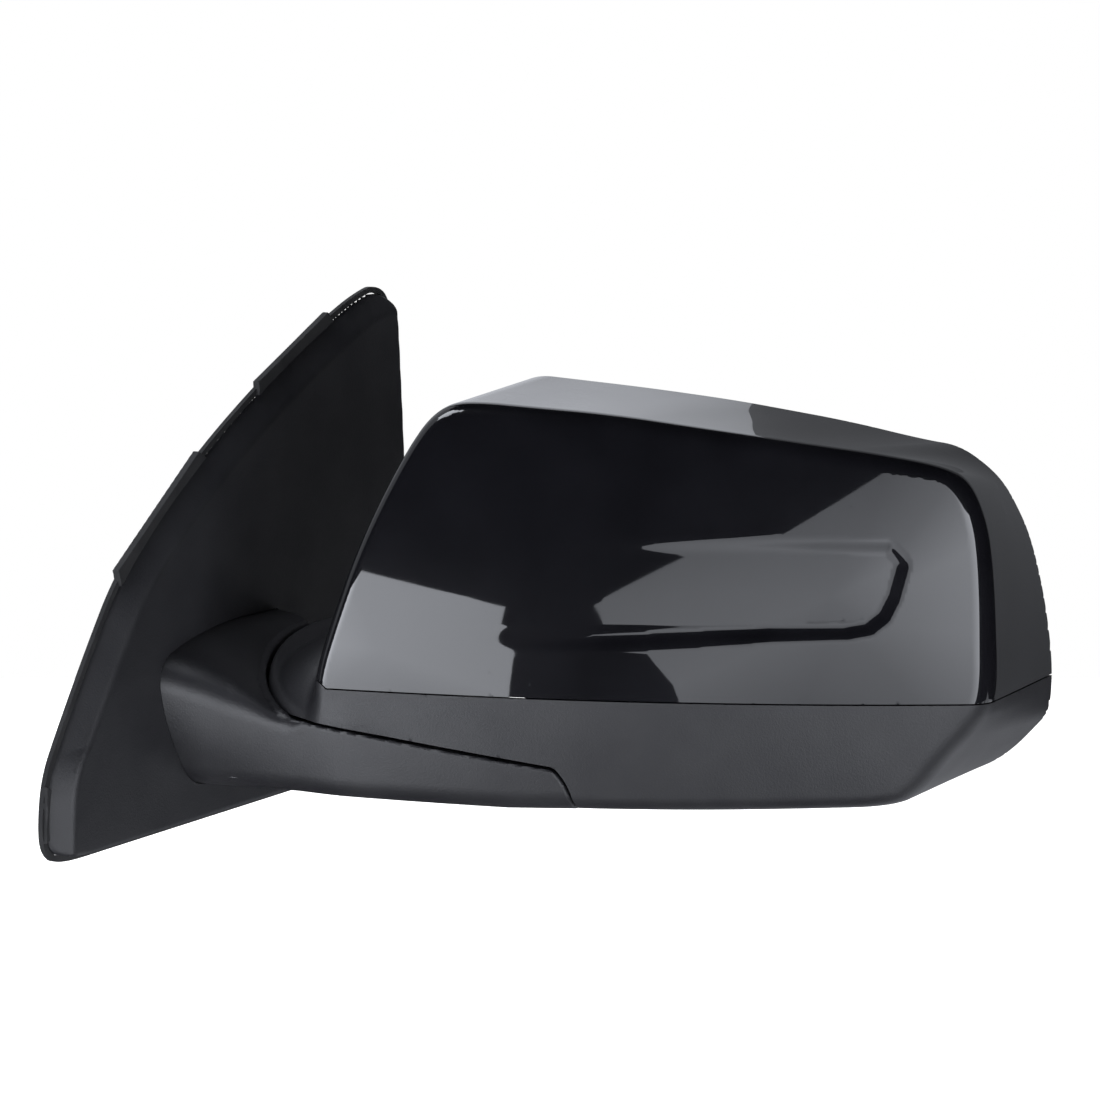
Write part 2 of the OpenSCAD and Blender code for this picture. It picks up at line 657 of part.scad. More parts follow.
module heater_pad() color([0.8, 0.5, 0.1]) in_head() slab_v(pad_v[0], pad_v[1])
  polygon(inset(opening_edge, 9));

module mirror_glass() color([0.7, 0.75, 0.8]) in_head() slab_v(glass_v[0], glass_v[1])
  polygon(inset(opening_edge, 6.4));

mounting_bracket();
mounting_studs();
pivot_post();
detent_ring_lower();
thrust_washer();
pivot_spring();
spring_retainer();
sail_cover();
edge_seal();
arm_cover();
arm_bottom_plate();
harness_grommet();
bracket_screws();
skull_cap();
lower_cover();
rear_bezel();
head_frame();
pivot_bush();
detent_ring_upper();
actuator_housing();
actuator_cover();
motor_vertical();
motor_horizontal();
actuator_screws();
bezel_screws();
worm_vertical();
worm_horizontal();
drive_gear_vertical();
drive_gear_horizontal();
push_rod_vertical();
push_rod_horizontal();
tilt_cross();
glass_holder();
heater_pad();
mirror_glass();
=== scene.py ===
import json
import math

import bpy
import numpy as np
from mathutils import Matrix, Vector


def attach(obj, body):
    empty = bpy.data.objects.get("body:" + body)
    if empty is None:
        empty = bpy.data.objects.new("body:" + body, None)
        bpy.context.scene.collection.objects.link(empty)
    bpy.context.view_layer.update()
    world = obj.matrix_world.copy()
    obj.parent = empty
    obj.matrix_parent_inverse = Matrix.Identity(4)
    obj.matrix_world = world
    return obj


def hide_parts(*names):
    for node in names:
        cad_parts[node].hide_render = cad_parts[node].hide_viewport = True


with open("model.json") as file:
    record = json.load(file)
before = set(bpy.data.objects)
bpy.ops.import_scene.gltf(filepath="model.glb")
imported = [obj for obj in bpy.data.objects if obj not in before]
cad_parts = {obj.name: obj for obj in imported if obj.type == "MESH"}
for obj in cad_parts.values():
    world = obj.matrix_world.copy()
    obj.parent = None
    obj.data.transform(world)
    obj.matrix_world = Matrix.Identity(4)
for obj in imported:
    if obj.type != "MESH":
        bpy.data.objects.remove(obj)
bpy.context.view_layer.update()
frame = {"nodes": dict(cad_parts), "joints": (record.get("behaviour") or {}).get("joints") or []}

# ---- camera: a little above the head, square to its front face ----

MM = 0.001
VIEW_AZIMUTH = 30
VIEW_ELEVATION = 8
VIEW_DISTANCE = 1.3
VIEW_TARGET = Vector((118.95, 20.66, 37.52)) * MM
LENS = 110.6
CLIP_RANGE = (0.05, 30)


def towards_camera():
    a, e = math.radians(VIEW_AZIMUTH), math.radians(VIEW_ELEVATION)
    return Vector((math.sin(a) * math.cos(e), -math.cos(a) * math.cos(e), math.sin(e)))


def add_camera():
    data = bpy.data.cameras.new("camera")
    data.lens = LENS
    data.clip_start, data.clip_end = CLIP_RANGE
    camera = bpy.data.objects.new("camera", data)
    bpy.context.scene.collection.objects.link(camera)
    camera.location = VIEW_TARGET + towards_camera() * VIEW_DISTANCE
    camera.rotation_euler = (-towards_camera()).to_track_quat("-Z", "Y").to_euler()
    bpy.context.scene.camera = camera


add_camera()

# ---- frames, in millimetres ----
# Head frame: u along the head, v rearward, w up, about the fold axis.
# Fold frame: the head frame leaned outboard, with h along the fold axis.

HEAD_SWEEP = math.radians(30)
FOLD_LEAN = math.radians(10)
fold_joint = next(j for j in frame["joints"] if j["name"] == "head_fold")
PIVOT = np.array(fold_joint["pos_m"]) / MM


def head_to_row(p):
    c, s = math.cos(HEAD_SWEEP), math.sin(HEAD_SWEEP)
    u, v, w = p[:, 0], p[:, 1], p[:, 2]
    return np.stack([u * c - v * s, u * s + v * c, w], 1) + PIVOT


def row_to_head(x, y, z):
    c, s = math.cos(HEAD_SWEEP), math.sin(HEAD_SWEEP)
    x, y = x - PIVOT[0], y - PIVOT[1]
    return x * c + y * s, -x * s + y * c, z - PIVOT[2]


def to_fold(u, v, w):
    c, s = math.cos(FOLD_LEAN), math.sin(FOLD_LEAN)
    return u * c - w * s, v, u * s + w * c


# ---- sizes, in millimetres ----

FAR = 1e6
WALL = 2.5
SEAM_GAP = 0.6
RIM_V = 38
FRONT_V = -36
EDGE_BLEND = 6
# Domed front face of the head: depth of its middle, place of its middle, and how flat it is
FACE_V, FACE_MIDDLE, FACE_BOW = -47, (110, 45), (1300, 560)
SEAM_W, SEAM_FALL = 18.1, 0.0265
BOSS_R = 34.7
POCKET_R = 36
ARM_TOP_H = 1.7
HEAD_FLOOR_H = 3
# Plane of the pocket's sloping rim, in the fold frame: its normal and its distance
POCKET_RIM, POCKET_RIM_AT = (-0.0468, -0.446, 0.8937), 17
TONGUE_R = 91
FLARE_RISE, FLARE_RUN = 42, 16
ARM_BOTTOM_W, ARM_BOTTOM_FALL = -24.8, 0.046
ARM_BACK_V = 32
ARM_WIDTH = 50
ARM_CREST_W = 36
SHOULDER_BULGE, SHOULDER_REACH = 13, 20
# Normals of the two planes that bound the sector of the head's swing, in the fold frame
SWING_FRONT, SWING_REAR = (0.883, -0.469), (0.766, 0.643)
# Round holes for the hub, in the lower cover and in the arm: radius, middle and half height
COVER_HUB_R, COVER_HUB_H, COVER_HUB_HALF = 24.5, 1, 6
ARM_HUB_R, ARM_HUB_H, ARM_HUB_HALF = 27.4, -6, 12.6
SAIL_H = 8
SAIL_FOOT = 1
SAIL_WALL = 2
ROOT_DEPTH = 3
RECESS_STARTS, RECESS_END = (95, 46), 206
RECESS_TOP, RECESS_BOTTOM = 78, 37
RECESS_DEPTHS = (1.0, 2.1)
RECESS_BEVEL = 7
RECESS_LIP = 0.12
RECESS_LOW_FADE = 85
OPENING_DRAFT = 24
# Plates behind the opening: depth of the middle, half thickness, and gap to the opening's edge
HOLDER_V, HOLDER_HALF, HOLDER_INSET = 21.3, 2.3, 5
GLASS_V, GLASS_HALF, GLASS_INSET = 22.6, 1, 6.4

# Outlines run clockwise: (u, w) for the head, (y, z) for the sail
FRONT_EDGE = [
    (-16, 12), (-15, 24), (-6, 48), (1, 67), (10.5, 89), (21.5, 111), (29, 121), (38.5, 125.5),
    (94, 121.5), (131, 116), (168, 110.5), (219, 103), (229, 97.5), (235.5, 82), (238, 66),
    (239.3, 44), (239.3, 12), (230.5, 1), (219, -11), (211, -22), (202, -28.5), (130, -28.5),
    (83, -27.8), (38, -26.2), (-8, -22.5), (-15, -10)]
REAR_EDGE = [
    (22, -5), (24, 20), (63, 130.5), (114, 124.5), (149, 119.5), (192, 111.5), (223, 104),
    (235.5, 102), (246, 95), (254, 87), (260, 76), (264, 67), (268, 53), (271.5, 36), (274, 17),
    (274, 2), (272.5, -5), (268, -10), (259.5, -19), (249, -26), (235, -29.5), (130, -29), (30, -26)]
OPENING_EDGE = [
    (36, 10), (79, 118), (115, 115), (150, 110), (190, 103), (220, 96.5), (233, 90), (241, 80),
    (247, 60), (252, 38), (255, 20), (255, 5), (248, -6), (232, -17), (205, -20), (125, -20),
    (90, -9)]
# Flat floor of the swept recess in the cap's front, inside its bevel
RECESS_FLOOR = [
    (40, 70.5), (160, 70.5), (200, 69), (203, 65.5), (200, 54.5), (197, 48.5), (192.5, 45),
    (185, 43.8), (157, 43.8), (112, 41.5), (57, 39), (40, 38.5)]
SAIL_EDGE = [
    (-136, -66.5), (-143.5, -62), (-144.5, -52), (-142, -35), (-133, -20), (-116, 6), (-97, 33),
    (-69, 56.5), (-37, 78), (-6.5, 95.5), (25, 111.5), (56, 125), (70, 129.5), (77, 131),
    (85.5, 128.5), (88.5, 122), (92.5, 67), (95, 0), (95.5, -66.5)]
# Start and end of each tab along the sail's front edge
SEAL_TABS = [((-7, 94), (46, 120)), ((-98, 31), (-43, 73)), ((-143, -38), (-144, -58))]
# Middle of the window that the tilt cross stands in, as (u, w), and half its width
TILT_WINDOW, TILT_WINDOW_HALF = (148, 48), 12
# Plate that closes the arm's underside, as (u, v)
PLATE_CORNERS = [(-44, -10), (-10, -16), (62, -20), (64, 16), (-20, 19.5)]

# ---- fields: distance in millimetres to a surface, below zero inside ----


def smooth_max(a, b, k):
    h = np.clip(0.5 + 0.5 * (a - b) / k, 0, 1)
    return b + (a - b) * h + k * h * (1 - h)


def smooth_min(a, b, k):
    return -smooth_max(-a, -b, k)


def rounded(points, reach):
    """An outline with each corner turned into a curve that starts at most reach before it."""
    p = np.array(points, float)
    before, after = np.roll(p, 1, axis=0), np.roll(p, -1, axis=0)

    def towards(q):
        length = np.linalg.norm(q - p, axis=1, keepdims=True)
        return p + (q - p) / length * np.minimum(reach, length / 2)

    a, b = towards(before), towards(after)
    curve = [a * (1 - t) ** 2 + 2 * p * t * (1 - t) + b * t**2 for t in np.linspace(0, 1, 41)]
    return np.stack(curve, 1).reshape(-1, 2)


def cross(a, b):
    return a[..., 0] * b[..., 1] - a[..., 1] * b[..., 0]


class Outline:
    """A closed clockwise outline as its radius at each angle round a centre."""

    COUNT = 8192

    def __init__(self, points, centre, reach=12):
        self.centre = np.array(centre, float)
        p = (rounded(points, reach) - self.centre)[::-1]
        angle = np.arctan2(p[:, 1], p[:, 0])
        first = np.argmin(angle)
        p, angle = np.roll(p, -first, axis=0), np.roll(angle, -first)
        at = (np.arange(self.COUNT) + 0.5) / self.COUNT * 2 * math.pi - math.pi
        after = np.searchsorted(angle, at) % len(p)
        start, edge = p[after - 1], p[after] - p[after - 1]
        self.radius = cross(start, edge) / cross(np.stack([np.cos(at), np.sin(at)], 1), edge)
        turn = 2 * math.pi / self.COUNT
        self.slope = (np.roll(self.radius, -1) - np.roll(self.radius, 1)) / (2 * turn)

    def at(self, angle):
        """Radius and its slope at each angle."""
        place = (angle + math.pi) / (2 * math.pi) * self.COUNT - 0.5
        low = np.floor(place).astype(int)
        part = place - low
        low, high = low % self.COUNT, (low + 1) % self.COUNT
        mix = lambda table: table[low] * (1 - part) + table[high] * part
        return mix(self.radius), mix(self.slope)

    def __call__(self, a, b):
        a, b = a - self.centre[0], b - self.centre[1]
        radius, slope = self.at(np.arctan2(b, a))
        return (np.hypot(a, b) - radius) * radius / np.hypot(radius, slope)


front_outline = Outline(FRONT_EDGE, (112, 52), 16)
rear_outline = Outline(REAR_EDGE, (158, 45), 14)
opening = Outline(OPENING_EDGE, (160, 48), 14)
sail_outline = Outline(SAIL_EDGE, (20, 0), 16)
sail_front = Outline([(-146, -160)] + SAIL_EDGE[2:14] + [(150, 148), (150, -160)], (20, 0), 16)


def front_face(u, w):
    """Depth of the domed front face."""
    return FACE_V + (u - FACE_MIDDLE[0]) ** 2 / FACE_BOW[0] + (w - FACE_MIDDLE[1]) ** 2 / FACE_BOW[1]


def head_sides(u, v, w):
    """Walls of the head, lofted from the front outline to the rear one."""
    t = np.clip((v - FRONT_V) / (RIM_V - FRONT_V), -0.25, 1.1)
    moved = rear_outline.centre - front_outline.centre
    a = u - front_outline.centre[0] - moved[0] * t
    b = w - front_outline.centre[1] - moved[1] * t
    angle = np.arctan2(b, a)
    r0, s0 = front_outline.at(angle)
    r1, s1 = rear_outline.at(angle)
    radius, slope = r0 + (r1 - r0) * t, s0 + (s1 - s0) * t
    square = radius / np.hypot(radius, slope)
    lean = (r1 - r0 + moved[0] * np.cos(angle) + moved[1] * np.sin(angle)) / (RIM_V - FRONT_V)
    return (np.hypot(a, b) - radius) * square / np.sqrt(1 + (lean * square) ** 2)


def head(u, v, w):
    slope_u = (u - FACE_MIDDLE[0]) / (FACE_BOW[0] / 2)
    slope_w = (w - FACE_MIDDLE[1]) / (FACE_BOW[1] / 2)
    steepness = np.sqrt(1 + slope_u**2 + slope_w**2)
    return smooth_max((front_face(u, w) - v) / steepness, head_sides(u, v, w), EDGE_BLEND)


def beside(outline, a, b):
    """Distance from a convex clockwise outline to points outside it, and 0 inside."""
    p = np.array(outline, float)
    inside, nearest = True, FAR
    for start, end in zip(p, np.roll(p, -1, axis=0)):
        d = end - start
        x, y = a - start[0], b - start[1]
        inside = inside & (x * d[1] - y * d[0] > 0)
        along = np.clip((x * d[0] + y * d[1]) / (d @ d), 0, 1)
        nearest = np.minimum(nearest, np.hypot(x - along * d[0], y - along * d[1]))
    return np.where(inside, 0, nearest)


def recess_drop(u, w):
    """How far the front face is sunk. It fades in from inboard, along the lower edge first."""
    top = np.clip((u - RECESS_STARTS[0]) / (RECESS_END - RECESS_STARTS[0]), 0, 1)
    low = np.clip((u - RECESS_STARTS[1]) / RECESS_LOW_FADE, 0, 1)
    down = np.clip((RECESS_TOP - w) / (RECESS_TOP - RECESS_BOTTOM), 0, 1)
    depth = RECESS_DEPTHS[0] * top * (1 - down) + RECESS_DEPTHS[1] * low**2 * (3 - 2 * low) * down
    out = np.clip(beside(RECESS_FLOOR, u, w) / RECESS_BEVEL, 0, 1)
    return depth * (1 - out + RECESS_LIP * np.sin(2 * math.pi * out))


def seam_height(u):
    """Height of the cap's lower edge, with its curl at the inboard corner."""
    return SEAM_W - SEAM_FALL * u + 0.9 * np.maximum(0, -8 - u)


def boss(u, v, w):
    """Round boss under the head, closed by a dome and cut along the pocket's sloping rim."""
    x, y, h = to_fold(u, v, w)
    r = np.hypot(x, y)
    rim = POCKET_RIM[0] * x + POCKET_RIM[1] * y + POCKET_RIM[2] * h - POCKET_RIM_AT
    wall = smooth_max(r - BOSS_R, rim, 2.5)
    return smooth_min(wall, np.sqrt(r * r + h * h) - BOSS_R + 0.5, 2)


def tongue_zone(u, v, w, top, grow=0.0):
    """Space under the head that the arm's tongue may sweep: a disc with a flared rim."""
    x, y, h = to_fold(u, v, w)
    r = np.hypot(x, y) - TONGUE_R - grow
    lip = (h - top + 0.75 * (r + 4)) / 1.25
    flare = (r * FLARE_RISE + (h - top + 3) * FLARE_RUN) / math.hypot(FLARE_RISE, FLARE_RUN)
    return smooth_max(smooth_max(h - top, lip, 1.2), flare, 4)


def cap(u, v, w):
    body = head(u, v, w)
    skin = body + recess_drop(u, w) * (v < 0)
    shell = np.maximum(skin, -(body + WALL + 0.7))
    above = seam_height(u) + SEAM_GAP / 2 - w
    return np.maximum(np.maximum(shell, above), np.maximum(v - RIM_V, 0.3 - boss(u, v, w)))


def lower_cover(u, v, w):
    x, y, h = to_fold(u, v, w)
    r = np.hypot(x, y)
    body, ball = head(u, v, w), boss(u, v, w)
    skin = smooth_min(body, ball, 5)
    floor = tongue_zone(u, v, w, HEAD_FLOOR_H + WALL, WALL + 0.6)
    inside = np.maximum(np.minimum(body, ball) + WALL, -floor)
    below = np.minimum(w - seam_height(u) + SEAM_GAP / 2, ball)
    solid = np.maximum(np.maximum(skin, -inside), np.maximum(below, v - RIM_V))
    hub_hole = np.maximum(r - COVER_HUB_R, np.abs(h - COVER_HUB_H) - COVER_HUB_HALF)
    return np.maximum(solid, -np.minimum(tongue_zone(u, v, w, HEAD_FLOOR_H, 0.6), hub_hole))


def arm_front(u, w):
    """Depth of the arm's front face: the head's own face, run on to the sail and leaning back below."""
    past = np.maximum(0, -5 - u)
    on_head = front_face(np.maximum(u, -5), w)
    return on_head + 0.18 * past + past / 65 * 0.0065 * np.maximum(0, 20 - w) ** 2


def arm_body(u, v, w):
    x, y, h = to_fold(u, v, w)
    r = np.hypot(x, y)
    front = arm_front(u, w) - v
    bottom = ARM_BOTTOM_W - ARM_BOTTOM_FALL * np.clip(u + 20, 0, 80) - w
    back = smooth_min(v - ARM_BACK_V, 0.983 * u + 0.183 * v + 4, 8)
    wide = u * 0.5 + v * 0.866 - ARM_WIDTH
    side = smooth_max(smooth_max(front, bottom, 9), smooth_max(back, wide, 12), 9)
    rim = np.where(r > POCKET_R + 4, tongue_zone(u, v, w, ARM_TOP_H), h - ARM_TOP_H)
    # the shoulder stands outside the sector that the head swings through
    bulge = SHOULDER_BULGE * (1 - np.exp(-np.maximum(r - POCKET_R - 3, 0) / SHOULDER_REACH))
    facet = (w - 18.3 + 0.118 * u - 0.5 * v - bulge) / 1.2
    crest = smooth_max(facet, w - ARM_CREST_W, 6)
    swing = np.where(y < 0, SWING_FRONT[0] * x + SWING_FRONT[1] * y,
                     SWING_REAR[0] * x + SWING_REAR[1] * y)
    shoulder = smooth_max(smooth_max(crest, POCKET_R - r, 1.2), swing, 2)
    edge_blend = 1.5 + np.clip(-swing / 6, 0, 1) * np.clip(0.25 * (r - POCKET_R) + 4, 4, 8.5)
    return smooth_max(side, smooth_min(rim, shoulder, 3), edge_blend)


def plate_opening(u, v, grow):
    """Footprint of the plate that closes the arm's underside."""
    p = np.array(PLATE_CORNERS, float)
    q = np.roll(p, -1, axis=0)
    distance = -FAR
    for a, b in zip(p, q):
        d = (b - a) / np.linalg.norm(b - a)
        distance = np.maximum(distance, d[1] * (u - a[0]) - d[0] * (v - a[1]))
    return distance - grow


def arm(u, v, w):
    x, y, h = to_fold(u, v, w)
    r = np.hypot(x, y)
    outer = arm_body(u, v, w)
    lining = np.maximum(ARM_TOP_H - WALL - h, r - POCKET_R - WALL)
    inside = np.maximum(outer + WALL, -np.where(h > ARM_TOP_H - WALL - 8, lining, 1))
    hub = np.maximum(r - ARM_HUB_R, np.abs(h - ARM_HUB_H) - ARM_HUB_HALF)
    inboard = arm_body(u, v, np.full_like(w, -20)) + 4
    opening_below = np.maximum(plate_opening(u, v, 6), np.maximum(w + 14, inboard))
    x_row = u * math.cos(HEAD_SWEEP) - v * math.sin(HEAD_SWEEP) + PIVOT[0]
    solid = np.maximum(outer, -np.minimum(inside, np.minimum(hub, opening_below)))
    return np.maximum(solid, SAIL_H - ROOT_DEPTH - x_row)


def sail_body(x, y, z):
    edge = sail_outline(y, z)
    bevel = (sail_front(y, z) + 1 + 1.3 * np.maximum(x - SAIL_FOOT, 0)) / 1.64
    return smooth_max(smooth_max(x - SAIL_H, bevel, 1.2), edge + 1, 1.5)


def sail(x, y, z):
    outer = sail_body(x, y, z)
    neck = arm_body(*row_to_head(x, y, z)) - 0.35
    return np.maximum(np.maximum(outer, -(outer + SAIL_WALL)), np.maximum(SAIL_FOOT - x, -neck))


def seal(x, y, z):
    edge = sail_outline(y, z)
    ring = np.maximum(np.maximum(edge - 1.5, -(edge + 4)), np.abs(x - 1) - 1)
    for a, b in SEAL_TABS:
        a, b = np.array(a, float), np.array(b, float)
        length = np.linalg.norm(b - a)
        d = (b - a) / length
        along = (y - a[0]) * d[0] + (z - a[1]) * d[1] - length / 2
        out = -(y - a[0]) * d[1] + (z - a[1]) * d[0]
        tab = np.maximum(np.abs(along) - length / 2 + 0.4 * out, np.abs(out - 2) - 3)
        ring = np.minimum(ring, smooth_max(tab, np.abs(x - 1.9) - 1.5, 0.6))
    sail_seat = np.maximum(0.8 - x, edge + 0.8)
    return np.maximum(ring, -np.minimum(sail_seat, sail_body(x, y, z) - 0.2))


def bezel(u, v, w):
    x, y, _ = to_fold(u, v, w)
    rim, mouth = rear_outline(u, w), opening(u, w)
    narrowing = (RIM_V - v) / OPENING_DRAFT
    flange = np.maximum(rim + WALL + 1, np.abs(v - RIM_V + 1.2) - 1)
    funnel = np.maximum(mouth - 1.8 + narrowing, np.abs(v - 26.4) - 11.4)
    hole = mouth + narrowing
    solid = smooth_max(smooth_min(flange, funnel, 1), -hole, 1.2)
    zone = tongue_zone(u, v, w, HEAD_FLOOR_H + WALL + 0.3, WALL + 1)
    ball = np.hypot(x, y) - BOSS_R - 0.5
    return np.maximum(solid, -np.minimum(zone, ball))


def holder(u, v, w):
    mouth = opening(u, w)
    plate = smooth_max(mouth + HOLDER_INSET, np.abs(v - HOLDER_V) - HOLDER_HALF, 0.5)
    tray = np.maximum(HOLDER_V - HOLDER_HALF - v, plate)
    bed = np.maximum(mouth + GLASS_INSET - 0.2, HOLDER_V - 0.3 - v)
    window = np.maximum(np.abs(u - TILT_WINDOW[0]), np.abs(w - TILT_WINDOW[1])) - TILT_WINDOW_HALF
    return np.maximum(tray, -np.minimum(bed, np.maximum(window, v - HOLDER_V + 0.5)))


def glass(u, v, w):
    return smooth_max(opening(u, w) + GLASS_INSET, np.abs(v - GLASS_V) - GLASS_HALF, 0.7)


# ---- meshes from fields ----

AXIS_STEPS = np.eye(3, dtype=int)
# Half the span over which a slope is measured, in millimetres
EPS = 0.04
ROOT_ROUNDS = 4
# A vertex isn't moved in a direction in which the normals of its cell spread less than this
FLAT_SPREAD = 0.06
# A corner takes its quad's own normal where the surface's normal there is further off than this
CREASE_ANGLE = math.radians(26)


def gradient(field, p):
    """Unit normals of the field at the points p."""
    parts = []
    for axis in range(3):
        d = np.zeros(3)
        d[axis] = EPS
        parts.append(field(*(p + d).T) - field(*(p - d).T))
    g = np.stack(parts, 1)
    return g / np.maximum(np.linalg.norm(g, axis=1, keepdims=True), 1e-9)


def crossings(field, grid, inside, origin, step, axis):
    """Grid edges along an axis that cross the surface: their cells, where they cross it, and
    whether each starts inside."""
    near = [slice(None)] * 3
    far = [slice(None)] * 3
    near[axis], far[axis] = slice(None, -1), slice(1, None)
    at = np.argwhere(inside[tuple(near)] != inside[tuple(far)])
    on = at + AXIS_STEPS[axis]
    f0, f1 = grid[tuple(at.T)], grid[tuple(on.T)]
    lo, hi = np.zeros(len(at)), np.ones(len(at))
    start = origin + at * step
    for _ in range(ROOT_ROUNDS):
        t = lo + (hi - lo) * np.clip(f0 / (f0 - f1), 0.02, 0.98)
        f = field(*(start + AXIS_STEPS[axis] * (t * step)[:, None]).T)
        same = (f < 0) == (f0 < 0)
        lo, f0 = np.where(same, t, lo), np.where(same, f, f0)
        hi, f1 = np.where(same, hi, t), np.where(same, f1, f)
    t = lo + (hi - lo) * f0 / (f0 - f1)
    points = start + AXIS_STEPS[axis] * (t * step)[:, None]
    return at, points, inside[tuple(at.T)]


def mesh_data(field, lo, hi, step):
    """One vertex in each grid cell that the surface crosses, placed on its creases by least squares,
    and one quad round each grid edge that it crosses."""
    lo = np.array(lo, float)
    count = np.ceil((np.array(hi, float) - lo) / step).astype(int) + 1
    axes = [lo[i] + step * np.arange(count[i]) for i in range(3)]
    grid = field(axes[0][:, None, None], axes[1][None, :, None], axes[2][None, None, :])
    grid = np.array(np.broadcast_to(grid, count), dtype=np.float64)
    inside = grid < 0
    quads, points, outward = [], [], []
    for axis in range(3):
        at, point, starts_in = crossings(field, grid, inside, lo, step, axis)
        a, b = (axis + 1) % 3, (axis + 2) % 3
        keep = (at[:, a] > 0) & (at[:, b] > 0)
        at, point, starts_in = at[keep], point[keep], starts_in[keep]
        ring = [0 * at, -AXIS_STEPS[a], -AXIS_STEPS[a] - AXIS_STEPS[b], -AXIS_STEPS[b]]
        cells = np.stack([np.ravel_multi_index((at + r).T, count) for r in ring], 1)
        quads.append(cells)
        points.append(point)
        outward.append(starts_in)
    quads, points, outward = np.concatenate(quads), np.concatenate(points), np.concatenate(outward)
    normals = gradient(field, points)
    used, index = np.unique(quads.ravel(), return_inverse=True)
    quads = index.reshape(-1, 4)
    quads[~outward] = quads[~outward][:, ::-1]
    verts = place_vertices(used, index, points, normals, lo, step, count)
    return verts, quads, normals


def place_vertices(used, index, points, normals, origin, step, count):
    """The point of each cell that best fits the planes where the surface crosses its edges."""
    total = lambda values: np.bincount(index, np.repeat(values, 4), len(used))
    n = total(np.ones(len(points)))
    middle = np.stack([total(points[:, i]) for i in range(3)], 1) / n[:, None]
    squares = np.zeros((len(used), 3, 3))
    for i in range(3):
        for j in range(3):
            squares[:, i, j] = total(normals[:, i] * normals[:, j])
    reach = np.einsum("ij,ij->i", normals, points)
    right = np.stack([total(normals[:, i] * reach) for i in range(3)], 1)
    right -= np.einsum("nij,nj->ni", squares, middle)
    values, vectors = np.linalg.eigh(squares / n[:, None, None])
    inverse = np.where(values > FLAT_SPREAD, 1 / np.maximum(values, 1e-9), 0)
    along = np.einsum("nji,nj->ni", vectors, right / n[:, None]) * inverse
    verts = middle + np.einsum("nij,nj->ni", vectors, along)
    low = origin + np.stack(np.unravel_index(used, count), 1) * step
    return np.clip(verts, low - 0.1 * step, low + 1.1 * step)


def soft_normals(field, verts, quads, normals):
    """A normal at each corner of each quad: the surface's own, or the quad's where a crease runs by."""
    own = gradient(field, verts)[quads]
    face = np.repeat(normals[:, None], 4, axis=1)
    smooth = np.einsum("nij,nij->ni", own, face) > math.cos(CREASE_ANGLE)
    return np.where(smooth[..., None], own, face)


def turn_to_row(vectors):
    c, s = math.cos(HEAD_SWEEP), math.sin(HEAD_SWEEP)
    u, v, w = vectors[:, 0], vectors[:, 1], vectors[:, 2]
    return np.stack([u * c - v * s, u * s + v * c, w], 1)


def add_shell(name, field, lo, hi, step, in_head=True):
    verts, quads, normals = mesh_data(field, lo, hi, step)
    corner = soft_normals(field, verts, quads, normals).reshape(-1, 3)
    if in_head:
        verts, corner = head_to_row(verts), turn_to_row(corner)
    mesh = bpy.data.meshes.new(name)
    mesh.vertices.add(len(verts))
    mesh.vertices.foreach_set("co", (verts * MM).astype(np.float32).ravel())
    mesh.loops.add(quads.size)
    mesh.loops.foreach_set("vertex_index", quads.astype(np.int32).ravel())
    mesh.polygons.add(len(quads))
    mesh.polygons.foreach_set("loop_start", np.arange(0, quads.size, 4, dtype=np.int32))
    mesh.polygons.foreach_set("use_smooth", np.ones(len(quads), bool))
    mesh.update(calc_edges=True)
    mesh.normals_split_custom_set(corner)
    shell = bpy.data.objects.new(name, mesh)
    bpy.context.scene.collection.objects.link(shell)
    return shell


# ---- materials ----


def nodes_of(material):
    material.use_nodes = True
    tree = material.node_tree
    return tree, tree.nodes["Principled BSDF"]


def noise(tree, scale, detail=3, rough=0.5):
    place = tree.nodes.new("ShaderNodeTexCoord")
    texture = tree.nodes.new("ShaderNodeTexNoise")
    texture.inputs["Scale"].default_value = scale
    texture.inputs["Detail"].default_value = detail
    texture.inputs["Roughness"].default_value = rough
    tree.links.new(place.outputs["Object"], texture.inputs["Vector"])
    return texture.outputs["Fac"]


def ranged(tree, value, low, high, start=0.3, stop=0.7):
    """The value from start to stop, mapped to the range low to high."""
    node = tree.nodes.new("ShaderNodeMapRange")
    for name, number in (("From Min", start), ("From Max", stop), ("To Min", low), ("To Max", high)):
        node.inputs[name].default_value = number
    tree.links.new(value, node.inputs["Value"])
    return node.outputs["Result"]


def two_tone(tree, value, dark, light, start=0.3, stop=0.7):
    node = tree.nodes.new("ShaderNodeValToRGB")
    node.color_ramp.elements[0].position = start
    node.color_ramp.elements[1].position = stop
    node.color_ramp.elements[0].color = (*dark, 1)
    node.color_ramp.elements[1].color = (*light, 1)
    tree.links.new(value, node.inputs["Fac"])
    return node.outputs["Color"]


def bump(tree, value, distance, normal=None):
    node = tree.nodes.new("ShaderNodeBump")
    node.inputs["Distance"].default_value = distance
    node.inputs["Strength"].default_value = 1
    tree.links.new(value, node.inputs["Height"])
    if normal is not None:
        tree.links.new(normal, node.inputs["Normal"])
    return node.outputs["Normal"]


def smooth_finish(name, dark, light, rough, tone_scale=60, **numbers):
    """A surface in two tones, with a roughness that wanders from the least to the most in rough."""
    material = bpy.data.materials.new(name)
    tree, shader = nodes_of(material)
    tone = noise(tree, tone_scale, 4)
    tree.links.new(two_tone(tree, tone, dark, light), shader.inputs["Base Color"])
    patches = noise(tree, tone_scale * 0.4, 5, 0.6)
    tree.links.new(ranged(tree, patches, rough[0], rough[1]), shader.inputs["Roughness"])
    for key, value in numbers.items():
        shader.inputs[key.replace("_", " ")].default_value = value
    return material


